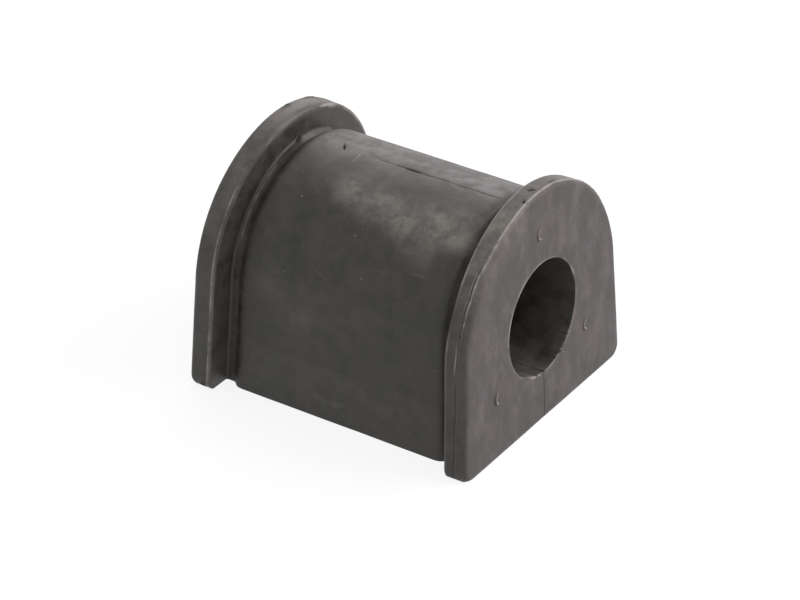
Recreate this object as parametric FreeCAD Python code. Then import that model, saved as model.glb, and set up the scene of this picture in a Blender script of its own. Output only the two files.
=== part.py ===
import FreeCAD, Part
import math
import os

# Sizes are in millimetres and degrees. The bar runs along Y through the origin, and Z is up.

# Bore for the bar, the flat base below it, and the slit that opens the bore to the base.
bore_radius = 11.0
axis_height = 20.4
slit_width = 0.2

# Length between the end faces, measured along the bore axis.
length_on_axis = 57.8

# Band that the bracket strap goes round. The sides of the arch flare out down to the base.
band_radius = 21.1
side_flare = 3.5

# Relief groove beside each flange. A cove, which starts a bite inside the flange's face,
# leads down into it, and a round shoulder slopes up from it to the band.
groove_depth = 1.3
groove_width = 2.0
cove_radius = 0.65
cove_bite = 0.03
shoulder_slope = 42.0
shoulder_round = 2.0
crest_slope = 10.0
crest_rise = 0.08

# The mould half on the +X side leaves the top of each groove shallower.
land_height = 0.8
land_angle = 30.0

# Flanges. They stand proud of the band, and with their grooves lean in towards the top.
flange_height = 4.0
flange_thickness = 4.6
flange_lean = 2.35
outer_round = 1.2
inner_round = 0.5

# Rounding of the flanges' lower corners, and how much is left below the base to trim off.
corner_radius = 2.7
foot_trim = 0.6

# Room by which a cutting shape passes the rubber.
overrun = 5.0

# Sizes that follow from the ones above.
flange_radius = band_radius + flange_height
groove_radius = band_radius - groove_depth
flange_inner = length_on_axis / 2 - flange_thickness
groove_end = flange_inner - groove_width
cut_length = length_on_axis + 2 * overrun
nearly_zero = 0.001

origin = FreeCAD.Vector(0, 0, 0)
along_bar = FreeCAD.Vector(0, 1, 0)
flare = math.radians(side_flare)
side_down = FreeCAD.Vector(math.sin(flare), 0, -math.cos(flare))


def arch_prism(radius, start, end, base_drop=0.0):
    """Arch of this radius about the bore, on flared sides, from one Y to another."""
    side_top = FreeCAD.Vector(radius * math.cos(flare), start, radius * math.sin(flare))
    side_length = (side_top.z + axis_height + base_drop) / math.cos(flare)
    side_foot = side_top + side_down * side_length
    crown = FreeCAD.Vector(0, start, radius)
    other_top = FreeCAD.Vector(-side_top.x, start, side_top.z)
    other_foot = FreeCAD.Vector(-side_foot.x, start, side_foot.z)
    outline = Part.Wire([
        Part.LineSegment(side_foot, side_top).toShape(),
        Part.Arc(side_top, crown, other_top).toShape(),
        Part.LineSegment(other_top, other_foot).toShape(),
        Part.LineSegment(other_foot, side_foot).toShape(),
    ])
    return Part.Face(outline).extrude(along_bar * (end - start))


def space_above(height):
    """Block that holds everything above this Z."""
    width = 2 * (flange_radius + axis_height)
    corner = FreeCAD.Vector(-width / 2, -cut_length / 2, height)
    return Part.makeBox(width, cut_length, width, corner)


def groove_section():
    """Half section of the space over a groove and its shoulder, which starts at Y = 0."""
    slope = math.radians(shoulder_slope)
    crest = math.radians(crest_slope)
    slope_end_radius = band_radius - crest_rise - shoulder_round * (math.cos(crest) - math.cos(slope))
    slope_end_y = (slope_end_radius - groove_radius) / math.tan(slope)

    def on_round(angle):
        outward = shoulder_round * (math.cos(angle) - math.cos(slope))
        inward = shoulder_round * (math.sin(slope) - math.sin(angle))
        return FreeCAD.Vector(slope_end_radius + outward, slope_end_y + inward, 0)

    outer_radius = band_radius + overrun
    round_end = on_round(crest)
    crest_end = round_end + FreeCAD.Vector(math.sin(crest), math.cos(crest), 0) * overrun
    outer_end = FreeCAD.Vector(outer_radius, crest_end.y, 0)
    floor_end = FreeCAD.Vector(groove_radius, 0, 0)
    cove_start = FreeCAD.Vector(groove_radius + cove_radius, -groove_width - cove_bite, 0)
    cove_centre = cove_start + along_bar * cove_radius
    cove_middle = cove_centre - FreeCAD.Vector(1, 1, 0).normalize() * cove_radius
    floor_start = FreeCAD.Vector(groove_radius, cove_centre.y, 0)
    outer_start = FreeCAD.Vector(outer_radius, cove_start.y, 0)
    return Part.Face(Part.Wire([
        Part.Arc(cove_start, cove_middle, floor_start).toShape(),
        Part.LineSegment(floor_start, floor_end).toShape(),
        Part.LineSegment(floor_end, on_round(slope)).toShape(),
        Part.Arc(on_round(slope), on_round((slope + crest) / 2), round_end).toShape(),
        Part.LineSegment(round_end, crest_end).toShape(),
        Part.LineSegment(crest_end, outer_end).toShape(),
        Part.LineSegment(outer_end, outer_start).toShape(),
        Part.LineSegment(outer_start, cove_start).toShape(),
    ]))


def groove_space():
    """Groove at the -Y end: its section turned round the arch and drawn down both sides."""
    section = groove_section()
    section.rotate(origin, -along_bar, side_flare)
    arch = section.revolve(origin, -along_bar, 180 - 2 * side_flare)
    side = section.extrude(side_down * (axis_height + band_radius))
    other_side = side.mirror(origin, FreeCAD.Vector(1, 0, 0))
    return tipped_in(arch.fuse([side, other_side]), -groove_end)


def tipped_in(shape, y):
    """The upright shape leant in by the flange's angle and moved to this Y."""
    shape.rotate(origin, FreeCAD.Vector(1, 0, 0), -flange_lean)
    shape.translate(along_bar * y)
    return shape


def edges_at(plate, y):
    """All the edges round the face of the plate at this Y."""
    return [
        edge for edge in plate.Edges
        if edge.BoundBox.YLength < nearly_zero and abs(edge.Vertexes[0].Y - y) < nearly_zero
    ]


def make_flange():
    """Flange at the -Y end: an arched plate with round rims, tipped in and trimmed flat."""
    plate = arch_prism(flange_radius, 0, flange_thickness, foot_trim)
    corner_edges = [
        edge for edge in plate.Edges
        if edge.BoundBox.YLength > nearly_zero and edge.BoundBox.ZMax < -axis_height
    ]
    plate = plate.makeFillet(corner_radius, corner_edges)
    plate = plate.makeFillet(outer_round, edges_at(plate, 0))
    plate = plate.makeFillet(inner_round, edges_at(plate, flange_thickness))
    return tipped_in(plate, -length_on_axis / 2).common(space_above(-axis_height))


def make_land():
    """Shallower bottom at the top of both grooves, from the mould seam towards +X."""
    return Part.makeCylinder(
        groove_radius + land_height,
        2 * flange_inner,
        along_bar * -flange_inner,
        along_bar,
        land_angle,
    )


def make_bushing():
    """The whole moulding, with its bore and the slit that lets it open over the bar."""
    mid_flange = flange_inner + flange_thickness / 2
    groove = groove_space()
    flange = make_flange()
    band = arch_prism(band_radius, -mid_flange, mid_flange)
    bushing = band.cut([groove, groove.mirror(origin, along_bar)])
    bushing = bushing.fuse([make_land(), flange, flange.mirror(origin, along_bar)])
    bushing = bushing.removeSplitter()

    bore = Part.makeCylinder(bore_radius, cut_length, along_bar * (-cut_length / 2), along_bar)
    slit_corner = FreeCAD.Vector(-slit_width / 2, -cut_length / 2, -axis_height - overrun)
    slit = Part.makeBox(slit_width, cut_length, axis_height + overrun, slit_corner)
    return bushing.cut(bore.fuse(slit)).Solids[0]


os.makedirs("parts", exist_ok=True)
make_bushing().exportStep("parts/bushing.step")
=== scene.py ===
import math
import random

import bmesh
import bpy
import numpy as np
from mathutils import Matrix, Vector, noise


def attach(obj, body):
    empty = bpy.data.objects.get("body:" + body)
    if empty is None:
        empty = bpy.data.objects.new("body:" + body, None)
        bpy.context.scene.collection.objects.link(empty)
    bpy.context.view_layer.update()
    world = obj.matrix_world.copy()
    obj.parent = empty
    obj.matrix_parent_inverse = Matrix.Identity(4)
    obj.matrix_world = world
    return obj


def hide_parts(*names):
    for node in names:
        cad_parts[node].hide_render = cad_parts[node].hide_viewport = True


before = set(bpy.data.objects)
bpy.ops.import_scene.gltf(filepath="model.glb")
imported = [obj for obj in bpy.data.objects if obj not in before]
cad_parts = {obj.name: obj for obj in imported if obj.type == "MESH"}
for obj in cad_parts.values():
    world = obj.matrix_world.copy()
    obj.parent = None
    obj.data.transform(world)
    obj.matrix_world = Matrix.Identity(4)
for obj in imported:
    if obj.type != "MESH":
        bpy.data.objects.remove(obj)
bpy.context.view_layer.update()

mm = 0.001  # the rubber is measured in millimetres and scaled once at the end
random.seed(27)


# the moulding: same main sizes as the solid, the bore runs along Y through the origin
bushing = {
    "boreRadius": 11.0,
    "boreEdgeRound": 0.18,
    "axisHeight": 20.4,
    "slitWidth": 0.1,
    "lengthOnAxis": 57.8,
    "bandRadius": 21.1,
    "sideFlare": 3.5,       # degrees
    "grooveDepth": 1.3,
    "grooveEnd": 22.3,      # from the middle, along the axis
    "toeRound": 0.6,
    "shoulderSlope": 42.0,  # degrees
    "shoulderRound": 2.0,
    "crestSlope": 10.0,     # degrees
    "crestRise": 0.08,
    "landHeight": 0.8,
    "landStart": -3.5,      # degrees from the crown
    "landStartRun": 5.0,    # degrees over which it comes up
    "landAngle": 30.0,      # degrees from the crown
    "landEndRun": 3.0,
    "landCrest": 0.1,       # above landHeight, beside the flange
    "landFall": 0.9,        # from there down to the shoulder
    "landFallRun": 1.1,
    "flangeHeight": 4.0,
    "flangeLean": 2.35,     # degrees
    "outerRound": 1.2,
    "cornerRadius": 2.7,
    "leastCorner": 0.3,     # where the outer round takes up the corner
    "footTrim": 0.6,
}
# the two flanges came out of the mould a little different; the inner edge has its larger round
# over the arch, which is gone at archEnd degrees from the crown
nearEnd = {"side": -1, "thickness": 4.4, "innerRound": 0.3, "archRound": 1.1, "archEnd": 82, "cove": 0.8}
farEnd = {"side": 1, "thickness": 4.75, "innerRound": 0.25, "archRound": 1.3, "archEnd": 36, "cove": 0.45}
archFade = 30  # degrees over which the one round turns into the other

flangeRadius = bushing["bandRadius"] + bushing["flangeHeight"]
grooveRadius = bushing["bandRadius"] - bushing["grooveDepth"]
landRadius = grooveRadius + bushing["landHeight"]
halfLength = bushing["lengthOnAxis"] / 2
flare = math.radians(bushing["sideFlare"])
lean = math.radians(bushing["flangeLean"])

# how many stations each stretch of an outline gets, from the slit round to the crown
stations = {"floor": 18, "foot": 7, "corner": 7, "side": 28, "arch": 76}
# how many steps each stretch of the profile has, both its ends counted
profile = {
    "boreEdge": 4, "face": 27, "outerRound": 7, "rim": 23, "innerRound": 5, "innerFace": 8, "cove": 6,
    "grooveFloor": 5, "toe": 5, "shoulder": 8, "band": 48, "bore": 26,
}

# floor stations as shares of its width, close together beside the slit
besideSlit, evenFrom = [0.0, 0.004, 0.012], 0.035
floorSteps = besideSlit + list(
    np.linspace(evenFrom, 1, stations["floor"] - len(besideSlit), endpoint=False)
)
# arch stations: even steps, then ever finer ones up to the mould seam at the crown
fineSteps = [0.05, 0.1, 0.16, 0.25, 0.4, 0.6, 0.85]  # millimetres off the crown at the band
crownAngles = [math.pi / 2 - s / bushing["bandRadius"] for s in reversed(fineSteps)]
archAngles = list(np.linspace(flare, crownAngles[0], stations["arch"], endpoint=False)) + crownAngles


def footHalfWidth(radius, depth):
    # where the flared side of an arch of this radius meets a floor this far down
    return (radius + depth * math.sin(flare)) / math.cos(flare)


def halfOutline(radius, depth, corner):
    # one side of an outline as x, z stations: floor, foot, corner, side, arch up to the crown
    footX = footHalfWidth(radius, depth)
    innerX = min(footHalfWidth(grooveRadius, bushing["axisHeight"]), footX)
    centre = Vector((
        (radius - corner + (depth - corner) * math.sin(flare)) / math.cos(flare), corner - depth
    ))
    points = []
    for t in floorSteps:
        points.append((bushing["slitWidth"] / 2 * (1 - t) + innerX * t, -depth))
    n = stations["foot"]
    for i in range(n):
        t = i / n
        points.append((innerX * (1 - t) + centre.x * t, -depth))
    n = stations["corner"]
    for i in range(n):
        a = (flare + math.pi / 2) * i / n - math.pi / 2
        points.append((centre.x + corner * math.cos(a), centre.y + corner * math.sin(a)))
    start = Vector((centre.x + corner * math.cos(flare), centre.y + corner * math.sin(flare)))
    end = Vector((radius * math.cos(flare), radius * math.sin(flare)))
    n = stations["side"]
    for i in range(n):
        p = start.lerp(end, i / n)
        points.append((p.x, p.y))
    for a in archAngles:
        points.append((radius * math.cos(a), radius * math.sin(a)))
    return points


def outline(radius, depth=bushing["axisHeight"], corner=0.0):
    # the whole outline, from the slit's +X wall over the crown to its -X wall
    half = halfOutline(radius, depth, corner)
    return np.array(half + [(0.0, radius)] + [(-x, z) for x, z in reversed(half)])


def smooth(t):
    t = np.clip(t, 0, 1)
    return t * t * (3 - 2 * t)


crownTurn = np.degrees(np.arctan2(*outline(grooveRadius).T))  # 0 at the crown, + towards +X
landRises = smooth((crownTurn - bushing["landStart"]) / bushing["landStartRun"])
landEnds = smooth((bushing["landAngle"] - crownTurn) / bushing["landEndRun"])
onLand = landRises * landEnds


def grooveOutline(radius, landRise=0.0):
    # an outline in the groove; its bottom is shallower on the land
    lift = max(landRadius + landRise - radius, 0.0) * onLand
    points = outline(radius)
    size = np.hypot(points[:, 0], points[:, 1])
    return points * ((size + lift) / size)[:, None]


def landLine(y):
    # the land falls away from the flange towards the shoulder
    run = bushing["landFallRun"]
    return bushing["landCrest"] - bushing["landFall"] * smooth((y + run) / run)


def plateRow(inset, depth):
    # a row of the flange plate, tipped in to its place at the -Y end and trimmed at the base
    foot = bushing["axisHeight"] + bushing["footTrim"] - inset
    corner = max(bushing["cornerRadius"] - inset, bushing["leastCorner"])
    x, z = outline(flangeRadius - inset, foot, corner).T
    y = depth * math.cos(lean) + z * math.sin(lean) - halfLength
    z = z * math.cos(lean) - depth * math.sin(lean)
    return np.column_stack([x, y, np.maximum(z, -bushing["axisHeight"])])


def leaningRow(ring, y):
    # a row of the groove, which leans as the flange does
    x, z = ring.T
    return np.column_stack([x, y + z * math.tan(lean) - bushing["grooveEnd"], z])


def grooveProfile(start):
    # radius and y from the flange over the groove's floor and up to the band
    slope, crest = math.radians(bushing["shoulderSlope"]), math.radians(bushing["crestSlope"])
    size, toe = bushing["shoulderRound"], bushing["toeRound"]
    tangent = toe * math.tan(slope / 2)
    points = [(grooveRadius, y) for y in np.linspace(start, -tangent, profile["grooveFloor"])[1:]]
    for a in np.linspace(0, slope, profile["toe"])[1:]:
        points.append((grooveRadius + toe * (1 - math.cos(a)), toe * math.sin(a) - tangent))
    endRadius = bushing["bandRadius"] - bushing["crestRise"] - size * (math.cos(crest) - math.cos(slope))
    endY = (endRadius - grooveRadius) / math.tan(slope)
    last = points[-1]
    for t in (0.5, 1.0):
        points.append((last[0] * (1 - t) + endRadius * t, last[1] * (1 - t) + endY * t))
    for a in np.linspace(slope, crest, profile["shoulder"])[1:]:
        outward, along = math.cos(a) - math.cos(slope), math.sin(slope) - math.sin(a)
        points.append((endRadius + size * outward, endY + size * along))
    run = bushing["crestRise"] / math.tan(crest)
    roundEnd = points[-1]
    easeRate, easeSteps = 1.6, (0.6, 1.5, 2.6)  # eases the crest into the flat of the band
    for t in easeSteps:
        share = (1 - math.exp(-easeRate * t)) / (1 - math.exp(-easeRate * easeSteps[-1]))
        points.append((roundEnd[0] + bushing["crestRise"] * share, roundEnd[1] + run * t))
    return points


def halfRows(end):
    # profile rows from the bore edge out over one flange and in to the edge of the band
    rows = []
    outer, edge = bushing["outerRound"], bushing["boreEdgeRound"]
    thickness, cove = end["thickness"], end["cove"]

    faceRim = plateRow(outer, 0.0)
    direction = faceRim[:, [0, 2]] / np.hypot(faceRim[:, 0], faceRim[:, 2])[:, None]
    for a in np.linspace(0, math.pi / 2, profile["boreEdge"]):
        ring = direction * (bushing["boreRadius"] + edge * (1 - math.cos(a)))
        ring[0, 0], ring[-1, 0] = bushing["slitWidth"] / 2, -bushing["slitWidth"] / 2
        y = ring[:, 1] * math.tan(lean) - halfLength + edge * (1 - math.sin(a))
        rows.append(np.column_stack([ring[:, 0], y, ring[:, 1]]))
    start = rows[-1]
    for t in np.linspace(0, 1, profile["face"])[1:-1]:
        rows.append(start * (1 - t) + faceRim * t)
    for a in np.linspace(0, math.pi / 2, profile["outerRound"]):
        rows.append(plateRow(outer * (1 - math.sin(a)), outer * (1 - math.cos(a))))

    share = smooth((end["archEnd"] - np.abs(crownTurn)) / archFade)[:, None]

    def innerRow(a):
        inset, rest = 1 - math.cos(a), 1 - math.sin(a)
        sizes = end["innerRound"], end["archRound"]
        small, large = (plateRow(size * inset, thickness - size * rest) for size in sizes)
        return small * (1 - share) + large * share

    rimStart, rimEnd = rows[-1], innerRow(0)
    for t in np.linspace(0, 1, profile["rim"])[1:-1]:
        rows.append(rimStart * (1 - t) + rimEnd * t)
    for a in np.linspace(0, math.pi / 2, profile["innerRound"]):
        rows.append(innerRow(a))

    # down the inner face, through the cove and across the groove
    coveStart = thickness - (halfLength - bushing["grooveEnd"]) * math.cos(lean)
    coveTop = leaningRow(grooveOutline(grooveRadius + cove, landLine(coveStart)), coveStart)
    floorCount = stations["floor"] + 1
    innerRim = rows[-1]
    innerRim[:floorCount, [0, 2]] = coveTop[:floorCount, [0, 2]]
    innerRim[-floorCount:, [0, 2]] = coveTop[-floorCount:, [0, 2]]
    for t in np.linspace(0, 1, profile["innerFace"])[1:]:
        rows.append(innerRim * (1 - t) + coveTop * t)
    for a in np.linspace(0, math.pi / 2, profile["cove"])[1:]:
        radius, y = grooveRadius + cove * (1 - math.sin(a)), coveStart + cove * (1 - math.cos(a))
        rows.append(leaningRow(grooveOutline(radius, landLine(y)), y))
    for radius, y in grooveProfile(coveStart + cove):
        rows.append(leaningRow(grooveOutline(radius, landLine(y)), y))
    return [row * (1, -end["side"], 1) for row in rows]


def mouldedRows():
    near, far = halfRows(nearEnd), halfRows(farEnd)[::-1]
    rows = list(near)
    for t in np.linspace(0, 1, profile["band"])[1:-1]:
        rows.append(near[-1] * (1 - t) + far[0] * t)
    rows += far
    for t in np.linspace(0, 1, profile["bore"])[1:-1]:  # back through the bore
        rows.append(far[-1] * (1 - t) + near[0] * t)
    return np.array(rows)


def gridMesh(rows):
    # one closed skin: the rows wrap round, and the slit walls close the ends of the columns
    rowCount, columnCount = rows.shape[:2]
    mesh = bmesh.new()
    verts = [mesh.verts.new(p) for p in rows.reshape(-1, 3)]
    for r in range(rowCount):
        below, above = r * columnCount, (r + 1) % rowCount * columnCount
        for c in range(columnCount - 1):
            corners = (below + c, above + c, above + c + 1, below + c + 1)
            mesh.faces.new([verts[i] for i in corners])
    for c in (0, columnCount - 1):
        wall = [verts[r * columnCount + c] for r in range(rowCount)]
        mesh.faces.new(wall if c == 0 else wall[::-1])
    weldGap = 1e-4  # millimetres
    bmesh.ops.remove_doubles(mesh, verts=mesh.verts, dist=weldGap)
    bmesh.ops.dissolve_degenerate(mesh, edges=mesh.edges, dist=weldGap)
    bmesh.ops.recalc_face_normals(mesh, faces=mesh.faces)
    return mesh


skin = gridMesh(mouldedRows())
print("moulding", len(skin.verts), "vertices", len(skin.faces), "faces")


# marks of the moulding and of handling, in millimetres
# a turn is in degrees round the outside, 0 on the -X side and 90 on the crown
# a From or To pair gives where something sets in or fades, and over what stretch
marks = {
    "waves": [(0.06, 11.0), (0.015, 3.1)],  # height, size
    "nearRim": {
        "partingY": -26.95,
        "partingLean": 0.014,
        "wander": 0.12,
        "flashFrom": (14, 26),
        "broadFrom": (42, 8),  # two thin lines of flash lower down, one broad one from here up
        "broadShift": 0.33,
        "outerLine": {"off": 0.32, "high": 0.2, "wide": 0.16, "pale": 1.7, "paleWide": 0.15},
        "innerLine": {"off": 0.28, "high": 0.08, "wide": 0.12, "pale": 0.9, "paleWide": 0.13},
        "hairline": {"turn": 8, "spread": 7, "pale": 1.5},
        "crease": {"deep": 0.05, "wide": 0.13, "darkWide": 0.12},
    },
    "farRim": {
        "partingY": 26.3,
        "line": {"off": 0.2, "high": 0.05, "wide": 0.2, "dark": 0.3, "darkWide": 0.15},
        "flashLine": {"off": 0.5, "wide": 0.3, "dark": 1.2, "darkOff": 0.55, "darkWide": 0.4},
        # where flash is left standing: turn, half width, height
        "flash": [(94.0, 3.2, 0.32), (110.0, 5.0, 0.3), (-36.6, 1.3, 0.3)],
    },
    # a Line gives how far in from the edge and the half width, a Peak the turn and its half width
    "innerEdge": {
        "nearStrength": 0.9,
        "nearLine": (0.42, 0.27),
        "nearFrom": (-5, 25),
        "nearArchFrom": (25, 20),
        "nearPeak": (40, 14),
        "farStrength": 0.95,
        "farLine": (0.75, 0.15),
        "farFilm": (0.4, 0.3),
        "farPeak": (36, 22),
        "pastCrownFrom": (82, 14),  # from here on the edge itself is pale
        "pastCrownLine": (0.1, 0.25),
    },
    "seam": {
        "offX": 0.18,
        "wander": 0.16,
        "deep": 0.09,
        "wide": 0.09,
        "step": 0.05,  # from one mould half to the other
        "stepFrom": (0.05, 0.5),
        "stepTo": (0.7, 2.0),
        "gapeY": -1.6,  # torn a little wider here
        "gapeReach": 1.7,
        "gapeWide": 0.1,
        "faintPast": 8.5,
        "faintRun": 5,
    },
    "gate": {
        "places": [(17.0, 90.0, 1.1), (17.0, -30.0, 1.2), (17.0, -150.0, 1.3)],  # radius, degrees, strength
        "radius": 1.1,
        "reach": 2.2,
        "wander": 0.08,
        "ridge": 0.18,  # on the -X side
        "faintRidge": 0.03,
        "ridgeWide": 0.15,
        "paleRing": (-0.1, 0.22),  # from the radius, half width
        "darkRing": (0.36, 0.18),
        "dish": 0.04,
        "dishFrom": (0.75, 0.2),
    },
    # torn spots: middle, direction, half length, half width, depth
    "tears": [
        ((0.75, 13.55, 21.09), (0.86, 0.51, 0.0), 1.2, 0.16, 0.5),
        ((0.1, -25.85, 25.1), (0.75, -0.65, 0.0), 0.75, 0.38, 0.4),
        ((-3.75, -26.75, 24.8), (0.8, 0.5, 0.1), 0.4, 0.3, 0.35),
        ((5.4, -26.65, 24.5), (0.98, 0.05, -0.2), 1.0, 0.16, 0.3),
        ((-22.87, -26.5, 10.35), (-0.3, 0.2, 0.9), 0.5, 0.14, 0.1),
        ((-23.8, -26.85, 8.0), (-0.3, -0.2, 0.9), 0.5, 0.13, 0.1),
    ],
    # pale scratches: both ends, half width, strength
    "scratches": [
        ((0.0, 9.6, 21.1), (-2.6, 9.4, 20.9), 0.3, 0.5),
        ((-8.2, 11.2, 19.4), (-9.9, 10.6, 18.6), 0.16, 0.4),
        ((-6.8, 6.2, 20.0), (-9.0, 8.4, 19.1), 0.14, 0.35),
        ((-19.4, 6.0, 8.3), (-20.0, 2.8, 6.6), 0.12, 0.4),
        ((-21.2, -8.0, 0.5), (-21.4, -5.6, -1.4), 0.12, 0.35),
        ((-4.2, -16.0, 20.7), (-7.6, -13.6, 19.7), 0.16, 0.35),
        ((-21.8, 10.5, -6.0), (-21.7, 7.8, -5.2), 0.12, 0.4),
    ],
    # ragged flash and a torn lip at the low edge of the near bore mouth, degrees from the +X side
    "boreLip": {
        "raggedFrom": (-100, 12),
        "raggedTo": (-50, 18),
        "raggedHeight": 0.5,
        "raggedDepth": 0.5,
        "lipFrom": (-132, 6),
        "lipTo": (-97, 5),
        "lipDepth": (2.2, 1.2),
        "lipHeight": 0.25,
        "foldHeight": 0.22,
    },
    "mouthLine": (0.12, 0.15),     # painted highlight: out from the bore's edge, half width
    "mouthFrom": (60, 50),         # brighter from here, degrees from the +X side
    # a painted highlight above the base, and painted shade along its edge
    "footLine": (0.34, 0.2, 0.5),  # up from the base, half width, strength
    "footDark": (0.12, 0.7),       # half width, strength
    # painted light and painted shade in the grooves
    "groove": {
        "pale": 0.8,
        "paleLine": (-1.1, 0.4),  # from the groove's end, half width
        "paleFrom": (12, 20),
        "paleTo": (66, 8),
        "faceShade": 0.5,
        "faceShadeFrom": (8, 28),
        "faceShadeTo": (62, 25),
        "faceShadeY": (-2.9, -1.8, 0.3),  # between the first two, with soft ends
        "lowSideLift": 0.3,  # painted light low on the side
        "lowSideLiftTo": (5, 20),
    },
}
# where each kind of mark is looked for, so that the rest of the skin goes without
zones = {
    "rim": 22.5,               # further than this from the axis, or to the side
    "nearRim": (-28.2, -26.0),  # Y from and to
    "farRim": (25.5, 27.6),
    "innerEdge": {"radius": 24.3, "x": 24.8},
    "groove": (-3, 1.5),       # grooveY from and to
    "outside": 12,             # beyond the bore's wall
    "seam": {"x": 3, "y": 19.6, "z": 20.3},
    "nearEnd": -25.0,
    "boreLip": -4,
    "foot": {"y": -28, "z": -19},
}
# how much room round a mark gets a finer grid, and the cuts in each edge there
finer = {"gate": (1.9, 3), "tear": (0.6, 3), "scratch": (0.7, 2)}


def refine(centre, reach, cuts):
    # a finer grid in a small ball, so that a small mark has a shape
    centre = Vector(centre)
    edges = [e for e in skin.edges if all((v.co - centre).length < reach for v in e.verts)]
    bmesh.ops.subdivide_edges(skin, edges=edges, cuts=cuts, use_grid_fill=True)


def gateCentre(radius, degrees):
    x, z = radius * math.cos(math.radians(degrees)), radius * math.sin(math.radians(degrees))
    return Vector((x, z * math.tan(lean) - halfLength, z))


for radius, degrees, _ in marks["gate"]["places"]:
    refine(gateCentre(radius, degrees), *finer["gate"])
for place, _, length, _, _ in marks["tears"]:
    room, cuts = finer["tear"]
    refine(place, length + room, cuts)
for start, end, _, _ in marks["scratches"]:
    room, cuts = finer["scratch"]
    refine((Vector(start) + Vector(end)) / 2, (Vector(start) - Vector(end)).length / 2 + room, cuts)


def bump(distance, halfWidth):
    return math.exp(-((distance / halfWidth) ** 2))


def rise(value, start, run):
    # 0 up to the start, 1 after the run
    return smooth((value - start) / run)


def wobble(*place):
    # smooth noise between about -1 and 1
    return noise.noise(Vector(place))


def turnOf(x, z):
    return math.degrees(math.atan2(z, x))


def nearRimRelief(p):
    # the parting line round the near flange and the flash beside it; the tone is painted highlight along the
    # flash lines and painted shade along the crease
    rim = marks["nearRim"]
    outer, inner, crease, hairline = rim["outerLine"], rim["innerLine"], rim["crease"], rim["hairline"]
    turn = turnOf(-p.x, p.z)
    parting = rim["partingY"] + rim["partingLean"] * p.z
    off = p.y - parting - rim["wander"] * wobble(turn * 0.16, 3.0, 0.0)
    level = 0.22 + 0.78 * rise(turn, *rim["flashFrom"])
    broken = 0.8 + 0.6 * wobble(turn * 0.45, 9.0, 0.0)
    flash = level * broken
    broad = rise(turn, *rim["broadFrom"])
    outward = off + outer["off"] + rim["broadShift"] * broad
    inward = off - inner["off"]
    height = outer["high"] * flash * bump(outward, outer["wide"]) - crease["deep"] * bump(off, crease["wide"])
    height += inner["high"] * flash * (1 - broad) * bump(inward, inner["wide"])
    hair = hairline["pale"] * bump(turn - hairline["turn"], hairline["spread"])
    hair *= 0.6 + 0.8 * wobble(turn * 0.9, 1.0, 4.0)
    tone = outer["pale"] * flash * bump(outward + 0.04, outer["paleWide"])
    tone += (inner["pale"] * flash * (1 - broad) + hair) * bump(inward, inner["paleWide"])
    dark = 0.25 + 0.45 * level * broken + 0.45 * smooth((2 - turn) / 10)
    return height, tone - dark * (1 - 0.5 * broad) * bump(off, crease["darkWide"])


def innerEdgeHighlight(p, end):
    # a painted highlight along the flange's inner edge, stronger here and there
    edge = marks["innerEdge"]
    turn = turnOf(-p.x, p.z)
    edgeY = halfLength - end["thickness"] / math.cos(lean) - p.z * math.tan(lean)
    inward = abs(p.y) - edgeY
    highlightLevel = 0.35 + 0.7 * wobble(turn * 0.11, 4.0 * end["side"], 2.0) + 0.4 * wobble(turn * 0.6, 1.0, 6.0)
    if p.y < 0:
        (off, width), (peak, spread) = edge["nearLine"], edge["nearPeak"]
        highlightLevel *= 0.15 + 0.85 * rise(turn, *edge["nearFrom"])
        highlightLevel += 1.1 * rise(turn, *edge["nearArchFrom"]) + 0.5 * bump(turn - peak, spread)
        return 0.0, edge["nearStrength"] * max(highlightLevel, 0.0) * bump(inward - off, width)
    beyond = rise(turn, *edge["pastCrownFrom"])
    peak, spread = edge["farPeak"]
    highlightLevel += 0.95 * bump(turn - peak, spread) + 0.6 * beyond
    (off, width), (filmOff, filmWidth) = edge["farLine"], edge["farFilm"]
    line = (1 - beyond) * (bump(inward - off, width) + 0.3 * bump(inward - filmOff, filmWidth))
    off, width = edge["pastCrownLine"]
    line += beyond * bump(inward - off, width)
    return 0.0, edge["farStrength"] * max(highlightLevel, 0.0) * line


def farRimRelief(p):
    # a fine parting line, with flash left standing in three places; the tone is painted shade along the line
    # and beside the standing flash
    rim = marks["farRim"]
    line, flash = rim["line"], rim["flashLine"]
    turn = turnOf(-p.x, p.z)
    off = p.y - rim["partingY"]
    height = line["high"] * bump(off - line["off"], line["wide"])
    tone = -line["dark"] * bump(off, line["darkWide"])
    for flashTurn, spread, high in rim["flash"]:
        level = bump(turn - flashTurn, spread) * (0.75 + 0.6 * wobble(turn * 0.8, 7.0, 0.0))
        height += high * level * bump(off - flash["off"], flash["wide"])
        tone -= flash["dark"] * level * bump(off - flash["darkOff"], flash["darkWide"])
    return height, tone


def seamRelief(p):
    # the mould halves' seam along the crown, open in the near half and faint at the far end, with painted
    # shade along its groove
    seam = marks["seam"]
    off = p.x - seam["wander"] * wobble(p.y * 0.3, 0.0, 5.0) - seam["offX"]
    level = 0.1 + 0.9 * smooth((seam["faintPast"] - p.y) / seam["faintRun"])
    gape = bump(p.y - seam["gapeY"], seam["gapeReach"])
    level *= 0.6 + 0.6 * gape + 0.45 * wobble(p.y * 0.9, 2.0, 0.0)
    line = bump(off, seam["wide"] + seam["gapeWide"] * gape)
    step = seam["step"] * level * rise(off, *seam["stepFrom"]) * (1 - rise(off, *seam["stepTo"]))
    return step - seam["deep"] * (1 + 1.5 * gape) * level * line, -0.95 * level * line


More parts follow.
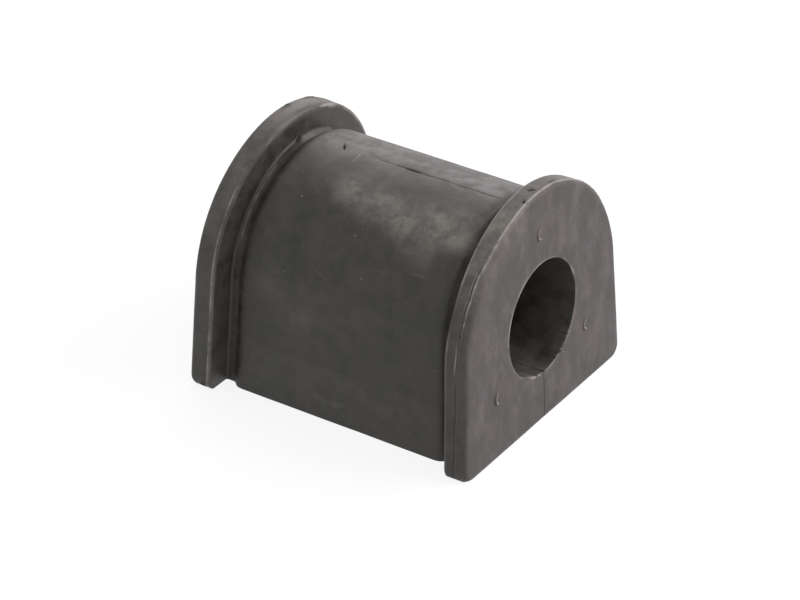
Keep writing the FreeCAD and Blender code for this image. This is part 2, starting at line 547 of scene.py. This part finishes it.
def gateMarkRelief(p, markRadius, degrees, strength):
    # a crescent of torn flash at the -X side of a little dished disc, with a painted highlight ring on the
    # ridge and a painted shade ring beside it
    gate = marks["gate"]
    centre = gateCentre(markRadius, degrees)
    dx, dz = p.x - centre.x, p.z - centre.z
    reach = math.hypot(dx, dz)
    if reach > gate["reach"]:
        return 0.0, 0.0
    side = smooth(0.15 - dx / max(reach, 0.05))  # 1 on the -X side
    ring = reach - gate["radius"] - gate["wander"] * wobble(dx * 1.5, dz * 1.5, degrees)
    height = strength * (gate["ridge"] * side + gate["faintRidge"]) * bump(ring, gate["ridgeWide"])
    height -= gate["dish"] * (1 - rise(reach, *gate["dishFrom"]))
    (paleOff, paleWidth), (darkOff, darkWidth) = gate["paleRing"], gate["darkRing"]
    tone = (0.2 + 0.85 * side) * bump(ring - paleOff, paleWidth) - 0.6 * side * bump(ring - darkOff, darkWidth)
    return height, strength * tone


def tearRelief(p, place, direction, length, width, depth):
    # a torn pit, with painted shade in it
    gap = p - Vector(place)
    if gap.length > 2 * length + 1:
        return 0.0, 0.0
    along = gap.dot(Vector(direction).normalized())
    across = math.sqrt(max(gap.length_squared - along ** 2, 0.0))
    reach = math.hypot(along / length, across / width) * (1 + 0.35 * noise.noise(p * 2.3))
    return -depth * bump(reach, 0.8), -1.3 * bump(reach, 0.85)


def scratchTone(p, start, end, width, strength):
    along = Vector(end) - Vector(start)
    share = min(max((p - Vector(start)).dot(along) / along.length_squared, 0.0), 1.0)
    gap = (p - Vector(start) - along * share).length
    if gap > 1:
        return 0.0, 0.0
    return 0.0, strength * (1 + 0.8 * wobble(*(p * 1.7))) * bump(gap, width)


def boreLipRelief(p):
    # painted highlights on the ragged flash and on the fold tops, painted shade between the folds
    lipMarks = marks["boreLip"]
    turn = turnOf(p.x, p.z)
    depth = p.y + halfLength - p.z * math.tan(lean)
    level = rise(turn, *lipMarks["raggedFrom"]) * (1 - rise(turn, *lipMarks["raggedTo"]))
    level *= bump(depth, lipMarks["raggedDepth"])
    ragged = 0.45 + 0.9 * wobble(turn * 0.33, 5.0, 0.0) + 0.5 * wobble(turn * 0.9, 8.0, 0.0)
    lip = rise(turn, *lipMarks["lipFrom"]) * (1 - rise(turn, *lipMarks["lipTo"]))
    lip *= 1 - rise(depth, *lipMarks["lipDepth"])
    folds = 0.5 + 0.5 * math.sin(0.55 * turn + 5 * wobble(turn * 0.1, depth, 0.0))
    height = lipMarks["raggedHeight"] * level * max(ragged, 0.0)
    height += lip * (lipMarks["lipHeight"] + lipMarks["foldHeight"] * folds)
    tone = 0.2 * level * max(ragged - 0.4, 0.0) + 0.38 * lip * folds - 0.5 * lip * (1 - folds)
    return height, tone


def mouthHighlight(p, radius):
    # a thin painted highlight round the near bore mouth
    off, width = marks["mouthLine"]
    turn = turnOf(p.x, p.z)
    highlightLevel = 0.5 + 0.5 * rise(turn, *marks["mouthFrom"]) + 0.6 * wobble(turn * 0.06, 3.0, 3.0)
    return 0.0, highlightLevel * bump(radius - bushing["boreRadius"] - off, width)


def footHighlightAndShade(p):
    # along the foot of the near face: a painted highlight just above painted shade at the bottom edge
    up = p.z + bushing["axisHeight"]
    off, width, strength = marks["footLine"]
    darkWidth, dark = marks["footDark"]
    return 0.0, strength * bump(up - off, width) - dark * bump(up, darkWidth)


def grooveY(p):
    # how far from the groove's end of the shoulder, - towards the flange
    return bushing["grooveEnd"] - abs(p.y) - p.z * math.tan(lean)


def grooveShadeAndLight(p):
    # painted shade up the flange's face, a painted light strip along the floor, and painted light low on the
    # side that lifts the shade there
    groove = marks["groove"]
    turn, y = turnOf(-p.x, p.z), grooveY(p)
    low, high, run = groove["faceShadeY"]
    faceShade = groove["faceShade"] * rise(turn, *groove["faceShadeFrom"]) * (1 - rise(turn, *groove["faceShadeTo"]))
    faceShade -= groove["lowSideLift"] * (1 - rise(turn, *groove["lowSideLiftTo"]))
    faceShade *= rise(y, low, run) * (1 - rise(y, high, run))
    pale = rise(turn, *groove["paleFrom"]) * (1 - rise(turn, *groove["paleTo"]))
    pale *= 0.75 + 0.5 * wobble(turn * 0.2, 6.0, 1.0)
    off, width = groove["paleLine"]
    return 0.0, groove["pale"] * pale * bump(y - off, width) - faceShade


def relief(p, n):
    # height off the smooth moulding in millimetres, and how much paler or darker it looks
    waves = sum(height * noise.noise(p / size) for height, size in marks["waves"])
    found = []
    radius = math.hypot(p.x, p.z)
    onRim = (radius > zones["rim"] or abs(p.x) > zones["rim"]) and abs(n.y) < 0.5 and n.z > -0.9
    edge, seam, foot = zones["innerEdge"], zones["seam"], zones["foot"]

    def between(value, name):
        return zones[name][0] < value < zones[name][1]

    if onRim and between(p.y, "nearRim"):
        found.append(nearRimRelief(p))
    if onRim and between(p.y, "farRim"):
        found.append(farRimRelief(p))
    if radius > edge["radius"] or abs(p.x) > edge["x"]:
        found.append(innerEdgeHighlight(p, nearEnd if p.y < 0 else farEnd))
    if radius > zones["outside"] and between(grooveY(p), "groove"):
        found.append(grooveShadeAndLight(p))
    if p.z > seam["z"] and abs(p.y) < seam["y"] and abs(p.x) < seam["x"]:
        found.append(seamRelief(p))
    if n.y < -0.9:
        found += [gateMarkRelief(p, *mark) for mark in marks["gate"]["places"]]
    if p.y < zones["nearEnd"]:
        if radius < bushing["boreRadius"] + 0.1 and p.z < zones["boreLip"]:
            found.append(boreLipRelief(p))
        if radius < bushing["boreRadius"] + 0.5 and n.y < -0.3:
            found.append(mouthHighlight(p, radius))
        if n.y < -0.5 and p.z < foot["z"] and p.y < foot["y"]:
            found.append(footHighlightAndShade(p))
    found += [tearRelief(p, *tear) for tear in marks["tears"]]
    found += [scratchTone(p, *scratch) for scratch in marks["scratches"]]
    return waves + sum(f[0] for f in found), sum(f[1] for f in found)


# dust, and bloom with its painted light: how much of each a place holds, from 0 to 1
held = {
    "boreDust": 0.18,
    "rimRadius": 24,
    "rimDust": 0.2,
    "archDust": 0.55,
    "archFrom": (12, 25),
    "grooveDust": 0.35,
    "grooveFrom": (-1.9, 0.5),
    "grooveTo": (0.5, 0.6),
    "landFrom": (68, 8),        # the land has less dust
    "bloomAndLightTo": (20.3, 0.8),     # millimetres from the middle, either way
    "bloomAndLightAgain": (25.1, 0.4),
    "landBloomAndLightFrom": (78, 20),
}


def dustHeld(p, n):
    # the grooves, the bore and the rims keep a little more dust
    radius = math.hypot(p.x, p.z)
    if radius < zones["outside"]:
        return held["boreDust"]
    if (radius > held["rimRadius"] or abs(p.x) > held["rimRadius"]) and abs(n.y) < 0.6:
        return held["rimDust"] + held["archDust"] * rise(turnOf(abs(p.x), p.z), *held["archFrom"])
    y = grooveY(p)
    offLand = 1 - 0.8 * rise(turnOf(-p.x, p.z), *held["landFrom"])
    return held["grooveDust"] * offLand * rise(y, *held["grooveFrom"]) * (1 - rise(y, *held["grooveTo"]))


def bloomAndLightHeld(p):
    # the grooves and the flanges' inner faces get no bloom and none of its painted light, apart from a little
    # past the crown
    end, run = held["bloomAndLightAgain"]
    inGroove = rise(abs(p.y), *held["bloomAndLightTo"]) * smooth((end - abs(p.y)) / run)
    return 1 - inGroove * (1 - 0.4 * rise(turnOf(-p.x, p.z), *held["landBloomAndLightFrom"]))


skin.normal_update()
# a tone per vertex: painted highlights and painted shade for the marks, and the pale scratches
paintedLightAndWearLayer = skin.verts.layers.float.new("paintedLightAndWear")
dustLayer = skin.verts.layers.float.new("dustHeld")
bloomAndLightLayer = skin.verts.layers.float.new("bloomAndLightHeld")
moves = []
for v in skin.verts:
    onSlit = abs(v.co.x) <= bushing["slitWidth"] / 2 + 0.01 and v.co.z < 0
    inBore = math.hypot(v.co.x, v.co.z) < bushing["boreRadius"] + 0.5
    # the slit's walls get painted shade in place of the marks
    height, tone = (0.0, -0.3 if inBore else -0.5) if onSlit else relief(v.co, v.normal)
    v[paintedLightAndWearLayer] = tone
    v[dustLayer] = dustHeld(v.co, v.normal)
    v[bloomAndLightLayer] = bloomAndLightHeld(v.co)
    moves.append(v.normal * height)
for v, move in zip(skin.verts, moves):
    v.co += move
    v.co.z = max(v.co.z, -bushing["axisHeight"])
    v.co *= mm
bushingMesh = bpy.data.meshes.new("bushingRubber")
skin.to_mesh(bushingMesh)
skin.free()
bushingMesh.shade_smooth()
sharpAngle = 55  # degrees
bushingMesh.set_sharp_from_angle(angle=math.radians(sharpAngle))
rubberBushing = bpy.data.objects.new("rubberBushing", bushingMesh)
bpy.context.scene.collection.objects.link(rubberBushing)
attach(rubberBushing, "root")
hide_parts("bushing")
triangles = sum(len(f.vertices) - 2 for f in bushingMesh.polygons)
print("bushing skin", len(bushingMesh.polygons), "faces", triangles, "triangles")


# rubber finish
rubberLook = {
    "dark": (0.0125, 0.0121, 0.0104, 1.0),
    "warm": (0.0312, 0.0282, 0.0244, 1.0),
    # purplish bloom, laid on the faces turned to the lamps, so partly painted light
    "bloomAndLight": (0.0640, 0.0515, 0.0535, 1.0),
    "dust": (0.150, 0.138, 0.124, 1.0),
    # the pale colour of the painted highlights and of the pale scratches
    "edge": (0.200, 0.185, 0.170, 1.0),
    # near black for painted shade
    "paintedShade": (0.004, 0.004, 0.004, 1.0),
    "roughness": (0.46, 0.62),
    "dustRoughness": 0.3,
    "paintedShadeRoughness": 0.4,
    "specular": 0.45,
    "bloomAndLightFaces": (0.15, -0.75, 0.64),  # the way that the faces with bloom and painted light look
    "bloomAndLightRamp": (0.35, 0.8),
    "heldDust": 0.35,
    "film": 0.035,
    "scratchFilm": 0.13,
    "highlightAndWearRamp": (0.1, 1.1, 0.0, 0.9),  # painted highlight and wear tone from and to, colour share from and to
    "paintedShadeRamp": (-0.1, -1.0, 0.0, 0.95),
    "skinBump": {"Strength": 0.4, "Distance": 0.00012},
    # hand-rubbed pale patches: place in millimetres, reach in millimetres, strength
    "patches": [
        ((-9.8, -6.5, 18.7), 7.0, 0.75),
        ((-9.4, -1.0, 18.9), 6.0, 0.6),
        ((-8.6, -13.5, 19.3), 6.5, 0.65),
        ((-8.0, 5.0, 19.5), 6.0, 0.65),
        ((-12.8, -12.0, 16.8), 7.0, 0.4),
        ((-11.0, -18.5, 18.0), 4.5, 0.7),
        ((-6.5, -19.0, 20.0), 4.0, 0.3),
        ((-10.0, -26.0, 23.0), 8.0, 0.5),
        ((-18.0, -25.5, 17.5), 6.0, 0.35),
        ((-22.0, 9.0, -1.0), 7.0, 0.12),
        ((-20.6, 14.0, 4.0), 6.0, 0.1),
        ((-3.0, 12.0, 21.0), 6.0, 0.16),
        ((-3.0, -2.0, 21.0), 5.0, 0.12),
    ],
}


def newNode(tree, kind, place, **inputs):
    node = tree.nodes.new(kind)
    node.location = place
    for name, value in inputs.items():
        node.inputs[name].default_value = value
    return node


def mathNode(tree, operation, place, *values):
    # links sockets and sets numbers, in the order given
    node = tree.nodes.new("ShaderNodeMath")
    node.operation = operation
    node.location = place
    for i, value in enumerate(values):
        if isinstance(value, (int, float)):
            node.inputs[i].default_value = value
        else:
            tree.links.new(value, node.inputs[i])
    return node.outputs[0]


def mixColour(tree, place, factor, first, second):
    node = tree.nodes.new("ShaderNodeMix")
    node.data_type = "RGBA"
    node.location = place
    for socket, value in ((node.inputs[0], factor), (node.inputs[6], first), (node.inputs[7], second)):
        if isinstance(value, (int, float, tuple)):
            socket.default_value = value
        else:
            tree.links.new(value, socket)
    return node.outputs[2]


def noiseNode(tree, place, vector, scale, detail, rough):
    node = newNode(tree, "ShaderNodeTexNoise", place, Scale=scale, Detail=detail, Roughness=rough)
    tree.links.new(vector, node.inputs["Vector"])
    return node.outputs["Fac"]


def ramp(tree, place, value, low, high, outLow=0.0, outHigh=1.0):
    node = newNode(tree, "ShaderNodeMapRange", place)
    node.interpolation_type = "SMOOTHSTEP"
    for i, number in enumerate((low, high, outLow, outHigh)):
        node.inputs[i + 1].default_value = number
    tree.links.new(value, node.inputs[0])
    return node.outputs[0]


# the skin's noises: scale per metre, detail, roughness
grainNoise = {
    "broad": (110, 3, 0.55),
    "small": (420, 4, 0.62),
    "cloud": (230, 7, 0.72),
    "streak": (260, 6, 0.7),
    "scratch": (1700, 2, 0.5),
    "grain": (2600, 3, 0.6),
    "pores": (900, 4, 0.6),
}
# streaks and scratches are noises that are turned and drawn out
drawnOut = {
    "streak": {"Rotation": (0.4, 0.85, 0.5), "Scale": (1.0, 0.45, 0.55)},
    "scratch": {"Rotation": (0.9, 0.2, 0.6), "Scale": (1.0, 0.07, 0.12)},
}
# where each output starts and is full
grainRamps = {"Mottle": (0.39, 0.61), "Dust": (0.39, 0.63), "Streak": (0.40, 0.70), "Scratch": (0.66, 0.74)}


def mouldedGrainGroup():
    # skin of the moulded rubber: mottling, cloudy dust, handling streaks, scratches, grain height
    group = bpy.data.node_groups.new("mouldedGrain", "ShaderNodeTree")
    newSocket = group.interface.new_socket
    newSocket("Place", in_out="INPUT", socket_type="NodeSocketVector")
    newSocket("Grain size", in_out="INPUT", socket_type="NodeSocketFloat").default_value = 1.0
    for name in (*grainRamps, "Height"):
        newSocket(name, in_out="OUTPUT", socket_type="NodeSocketFloat")
    enter = newNode(group, "NodeGroupInput", (-1100, 0))
    leave = newNode(group, "NodeGroupOutput", (900, 0))
    scaled = newNode(group, "ShaderNodeVectorMath", (-900, 0))
    scaled.operation = "SCALE"
    group.links.new(enter.outputs["Place"], scaled.inputs[0])
    group.links.new(enter.outputs["Grain size"], scaled.inputs["Scale"])

    noises = {}
    for i, (name, settings) in enumerate(grainNoise.items()):
        nodeY, place = 500 - 200 * i, scaled.outputs[0]
        if name in drawnOut:
            mapping = newNode(group, "ShaderNodeMapping", (-650, nodeY), **drawnOut[name])
            group.links.new(place, mapping.inputs["Vector"])
            place = mapping.outputs[0]
        noises[name] = noiseNode(group, (-400, nodeY), place, *settings)

    def mixed(nodeY, first, second, share):
        part = mathNode(group, "MULTIPLY", (-150, nodeY), noises[first], share)
        return mathNode(group, "MULTIPLY_ADD", (100, nodeY), noises[second], 1 - share, part)

    values = {
        "Mottle": mixed(500, "broad", "small", 0.6),
        "Dust": noises["cloud"],
        "Streak": noises["streak"],
        "Scratch": noises["scratch"],
    }
    for i, (name, (low, high)) in enumerate(grainRamps.items()):
        value = ramp(group, (350, 500 - 200 * i), values[name], low, high)
        group.links.new(value, leave.inputs[name])
    group.links.new(mixed(-600, "grain", "pores", 0.4), leave.inputs["Height"])
    return group


mouldedGrain = mouldedGrainGroup()


def grainOf(tree, place, size=1.0):
    node = tree.nodes.new("ShaderNodeGroup")
    node.node_tree = mouldedGrain
    node.location = place
    node.inputs["Grain size"].default_value = size
    coordinates = newNode(tree, "ShaderNodeTexCoord", (place[0] - 250, place[1]))
    tree.links.new(coordinates.outputs["Object"], node.inputs["Place"])
    return node.outputs, coordinates.outputs


def attributeOf(tree, place, name):
    node = newNode(tree, "ShaderNodeAttribute", place)
    node.attribute_name = name
    return node.outputs["Fac"]


def rubberMaterial():
    material = bpy.data.materials.new("blackRubber")
    material.use_nodes = True
    tree = material.node_tree
    shader = tree.nodes["Principled BSDF"]
    shader.location = (1500, 0)
    tree.nodes["Material Output"].location = (1850, 0)
    shader.inputs["Specular IOR Level"].default_value = rubberLook["specular"]
    grain, coordinates = grainOf(tree, (-1000, 0))
    colour = mixColour(tree, (-300, 300), grain["Mottle"], rubberLook["dark"], rubberLook["warm"])

    # a faint bloom on the end faces and on the top, masked by how the faces turn towards the lamps: partly
    # bloom, partly painted light
    looks = newNode(tree, "ShaderNodeVectorMath", (-800, 700))
    looks.operation = "DOT_PRODUCT"
    looks.inputs[1].default_value = Vector(rubberLook["bloomAndLightFaces"]).normalized()
    tree.links.new(coordinates["Normal"], looks.inputs[0])
    bloomAndLight = ramp(tree, (-550, 700), looks.outputs["Value"], *rubberLook["bloomAndLightRamp"])
    bloomAndLight = mathNode(tree, "MULTIPLY", (-400, 800), bloomAndLight, attributeOf(tree, (-650, 900), "bloomAndLightHeld"))
    uneven = mathNode(tree, "MULTIPLY_ADD", (-550, 500), grain["Streak"], 0.7, 0.3)
    bloomAndLight = mathNode(tree, "MULTIPLY", (-300, 600), bloomAndLight, uneven)
    colour = mixColour(tree, (-50, 300), bloomAndLight, colour, rubberLook["bloomAndLight"])

    # pale patches, cloudy, more where the grooves hold the dust, and a thin film all over
    dust = attributeOf(tree, (-800, -150), "dustHeld")
    dust = mathNode(tree, "MULTIPLY", (-550, -100), dust, rubberLook["heldDust"])
    for i, (spot, reach, strength) in enumerate(rubberLook["patches"]):
        nodeY = -300 - 180 * i
        gap = newNode(tree, "ShaderNodeVectorMath", (-800, nodeY))
        gap.operation = "DISTANCE"
        gap.inputs[1].default_value = [v * mm for v in spot]
        tree.links.new(coordinates["Object"], gap.inputs[0])
        outside, inside = reach * mm, 0.1 * reach * mm
        patch = ramp(tree, (-550, nodeY), gap.outputs["Value"], outside, inside, 0.0, strength)
        dust = mathNode(tree, "ADD", (-300, nodeY), dust, patch)
    cloudy = mathNode(tree, "MULTIPLY_ADD", (-300, -100), grain["Dust"], 0.7, 0.35)
    cloudy = mathNode(tree, "MULTIPLY_ADD", (-100, -100), grain["Streak"], 0.35, cloudy)
    film = mathNode(tree, "MULTIPLY", (-150, 50), grain["Dust"], rubberLook["film"])
    film = mathNode(tree, "MULTIPLY_ADD", (-50, 150), grain["Scratch"], rubberLook["scratchFilm"], film)
    dust = mathNode(tree, "MULTIPLY_ADD", (150, -150), dust, cloudy, film)
    colour = mixColour(tree, (400, 200), dust, colour, rubberLook["dust"])

    # painted highlights on edges, flash and marks, with pale scratches; painted shade in creases, seams, pits,
    # grooves and the slit
    paintedLightAndWearTone = attributeOf(tree, (-300, 900), "paintedLightAndWear")
    pale = ramp(tree, (0, 900), paintedLightAndWearTone, *rubberLook["highlightAndWearRamp"])
    deep = ramp(tree, (0, 650), paintedLightAndWearTone, *rubberLook["paintedShadeRamp"])
    colour = mixColour(tree, (700, 300), pale, colour, rubberLook["edge"])
    colour = mixColour(tree, (950, 300), deep, colour, rubberLook["paintedShade"])
    tree.links.new(colour, shader.inputs["Base Color"])

    rough = ramp(tree, (400, -100), grain["Mottle"], 0.0, 1.0, *rubberLook["roughness"])
    rough = mathNode(tree, "MULTIPLY_ADD", (700, -100), dust, rubberLook["dustRoughness"], rough)
    rough = mathNode(tree, "MULTIPLY_ADD", (950, -100), deep, rubberLook["paintedShadeRoughness"], rough)
    tree.links.new(rough, shader.inputs["Roughness"])

    skinBump = newNode(tree, "ShaderNodeBump", (1200, -300), **rubberLook["skinBump"])
    tree.links.new(grain["Height"], skinBump.inputs["Height"])
    tree.links.new(skinBump.outputs[0], shader.inputs["Normal"])
    return material


rubberBushing.data.materials.append(rubberMaterial())


# crumbs of dust on the rubber
crumbs = {
    "size": (0.06, 0.1),  # millimetres
    "colour": (0.38, 0.37, 0.35, 1.0),
    "seen": [
        (-13.0, -28.6, 8.2), (9.2, -28.1, 20.7), (7.3, -28.2, 18.4), (6.6, -29.3, -10.3),
        (-18.1, -29.3, -10.2), (-22.4, -29.3, -11.7), (-21.3, -20.0, -2.7), (-21.2, 21.5, -0.6),
        (-8.4, 16.2, 19.4), (-12.3, 13.7, 17.2), (-15.1, 0.5, 14.8), (-14.0, -0.4, 15.8),
        (-20.2, 12.3, 6.2), (-19.0, -3.4, 9.2), (-10.6, -4.2, 18.2), (-26.0, 24.4, -15.0),
        (5.2, 23.2, 23.7), (6.5, 23.2, 23.1), (14.1, 23.5, 16.6),
    ],
    "scattered": 60,
    "scatteredScale": 0.6,
    "beyondBore": 13,  # millimetres from the axis
    "lumps": 0.45,
    "squash": 0.6,     # height against width
    "lift": 0.25,      # of the size
    "roughness": 0.8,
    "dimmest": 0.55,
    "grainSize": 3.0,
    "bump": {"Strength": 0.5, "Distance": 0.00003},
}


def crumbMaterial():
    material = bpy.data.materials.new("paleCrumb")
    material.use_nodes = True
    tree = material.node_tree
    shader = tree.nodes["Principled BSDF"]
    shader.inputs["Roughness"].default_value = crumbs["roughness"]
    grain, _ = grainOf(tree, (-700, 0), crumbs["grainSize"])
    dim = tuple(crumbs["dimmest"] * c for c in crumbs["colour"][:3]) + (1.0,)
    colour = mixColour(tree, (-300, 100), grain["Dust"], dim, crumbs["colour"])
    tree.links.new(colour, shader.inputs["Base Color"])
    rugged = newNode(tree, "ShaderNodeBump", (-300, -200), **crumbs["bump"])
    tree.links.new(grain["Height"], rugged.inputs["Height"])
    tree.links.new(rugged.outputs[0], shader.inputs["Normal"])
    return material


def scatterCrumbs():
    # the crumbs that can be seen, and smaller ones anywhere but in the bore and underneath
    seen = [Vector(p) * mm for p in crumbs["seen"]]
    places = list(seen)
    faces = bushingMesh.polygons
    while len(places) < len(seen) + crumbs["scattered"]:
        face = faces[random.randrange(len(faces))]
        if math.hypot(face.center.x, face.center.z) > crumbs["beyondBore"] * mm and face.normal.z > -0.5:
            places.append(face.center.copy())
    mesh = bmesh.new()
    for place in places:
        _, point, normal, _ = rubberBushing.closest_point_on_mesh(place)
        scale = 1 if place in seen else crumbs["scatteredScale"]
        size = random.uniform(*crumbs["size"]) * mm * scale
        turn = normal.to_track_quat("Z", "X").to_matrix().to_4x4()
        made = bmesh.ops.create_icosphere(mesh, subdivisions=2, radius=size)
        for v in made["verts"]:
            v.co *= 1 + crumbs["lumps"] * noise.noise(v.co / size * 1.3 + place * 900)
            v.co.z = v.co.z * crumbs["squash"] + crumbs["lift"] * size
            v.co = turn @ v.co + point
    data = bpy.data.meshes.new("dustCrumbs")
    mesh.to_mesh(data)
    mesh.free()
    data.shade_smooth()
    data.materials.append(crumbMaterial())
    piece = bpy.data.objects.new("dustCrumbs", data)
    bpy.context.scene.collection.objects.link(piece)
    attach(piece, "root")
    return len(places)


print("rubber finish done,", scatterCrumbs(), "crumbs")


# studio: white floor and surround, broad soft lamps
studio = {
    "lampTint": (1.0, 0.95, 0.96),
    "surround": 0.93,
    "lamps": {
        # name: place in metres, width and height in metres, watts; each one faces the bushing
        "backBox": ((0.85, 0.50, 0.42), (0.8, 0.6), 3.8),
        "sideBox": ((0.60, -0.80, 0.70), (0.9, 0.8), 16.0),
    },
    "floorHalf": 2.5,  # metres
    "floorColour": (0.9, 0.9, 0.9, 1),
    "floorRoughness": 0.9,
    "floorWhite": 0.85,  # this much of the floor looks plain white, the rest takes shadows
}
world = bpy.data.worlds.new("studioSurround")
bpy.context.scene.world = world
world.use_nodes = True
world.node_tree.nodes["Background"].inputs["Color"].default_value = (1, 1, 1, 1)
world.node_tree.nodes["Background"].inputs["Strength"].default_value = studio["surround"]

for name, (place, size, watts) in studio["lamps"].items():
    lampData = bpy.data.lights.new(name, "AREA")
    lampData.shape = "RECTANGLE"
    lampData.size, lampData.size_y = size
    lampData.energy = watts
    lampData.color = studio["lampTint"]
    lamp = bpy.data.objects.new(name, lampData)
    lamp.location = place
    lamp.rotation_euler = (-Vector(place)).to_track_quat("-Z", "Y").to_euler()
    bpy.context.scene.collection.objects.link(lamp)

floorMesh = bpy.data.meshes.new("paleFloor")
half, floorZ = studio["floorHalf"], -bushing["axisHeight"] * mm
corners = [(-half, -half, floorZ), (half, -half, floorZ), (half, half, floorZ), (-half, half, floorZ)]
floorMesh.from_pydata(corners, [], [(0, 1, 2, 3)])
paleFloor = bpy.data.objects.new("paleFloor", floorMesh)
bpy.context.scene.collection.objects.link(paleFloor)
floorPaint = bpy.data.materials.new("floorPaint")
floorPaint.use_nodes = True
tree = floorPaint.node_tree
paint = tree.nodes["Principled BSDF"]
paint.inputs["Base Color"].default_value = studio["floorColour"]
paint.inputs["Roughness"].default_value = studio["floorRoughness"]
rays = newNode(tree, "ShaderNodeLightPath", (-500, 300))
glow = newNode(tree, "ShaderNodeEmission", (-200, 200), Strength=1.0)
seen = mathNode(tree, "MAXIMUM", (-300, 400), rays.outputs["Is Camera Ray"], rays.outputs["Is Glossy Ray"])
share = mathNode(tree, "MULTIPLY", (-100, 400), seen, studio["floorWhite"])
blend = newNode(tree, "ShaderNodeMixShader", (100, 300))
tree.links.new(share, blend.inputs[0])
tree.links.new(paint.outputs[0], blend.inputs[1])
tree.links.new(glow.outputs[0], blend.inputs[2])
tree.links.new(blend.outputs[0], tree.nodes["Material Output"].inputs["Surface"])
floorMesh.materials.append(floorPaint)


# camera at the photograph's angle
cameraSet = {
    "lens": 159.93,  # millimetres
    "sensorWidth": 36,
    "clip": (0.01, 20),  # metres
    "place": (-0.4537712, -0.3013634, 0.3302734),
    "turn": (58.3089, 0.1259, -56.3808),  # degrees
}
cameraData = bpy.data.cameras.new("studioCamera")
cameraData.lens = cameraSet["lens"]
cameraData.sensor_width = cameraSet["sensorWidth"]
cameraData.clip_start, cameraData.clip_end = cameraSet["clip"]
camera = bpy.data.objects.new("studioCamera", cameraData)
camera.location = cameraSet["place"]
camera.rotation_euler = [math.radians(a) for a in cameraSet["turn"]]
bpy.context.scene.collection.objects.link(camera)
bpy.context.scene.camera = camera
bpy.context.scene.view_settings.view_transform = "Standard"
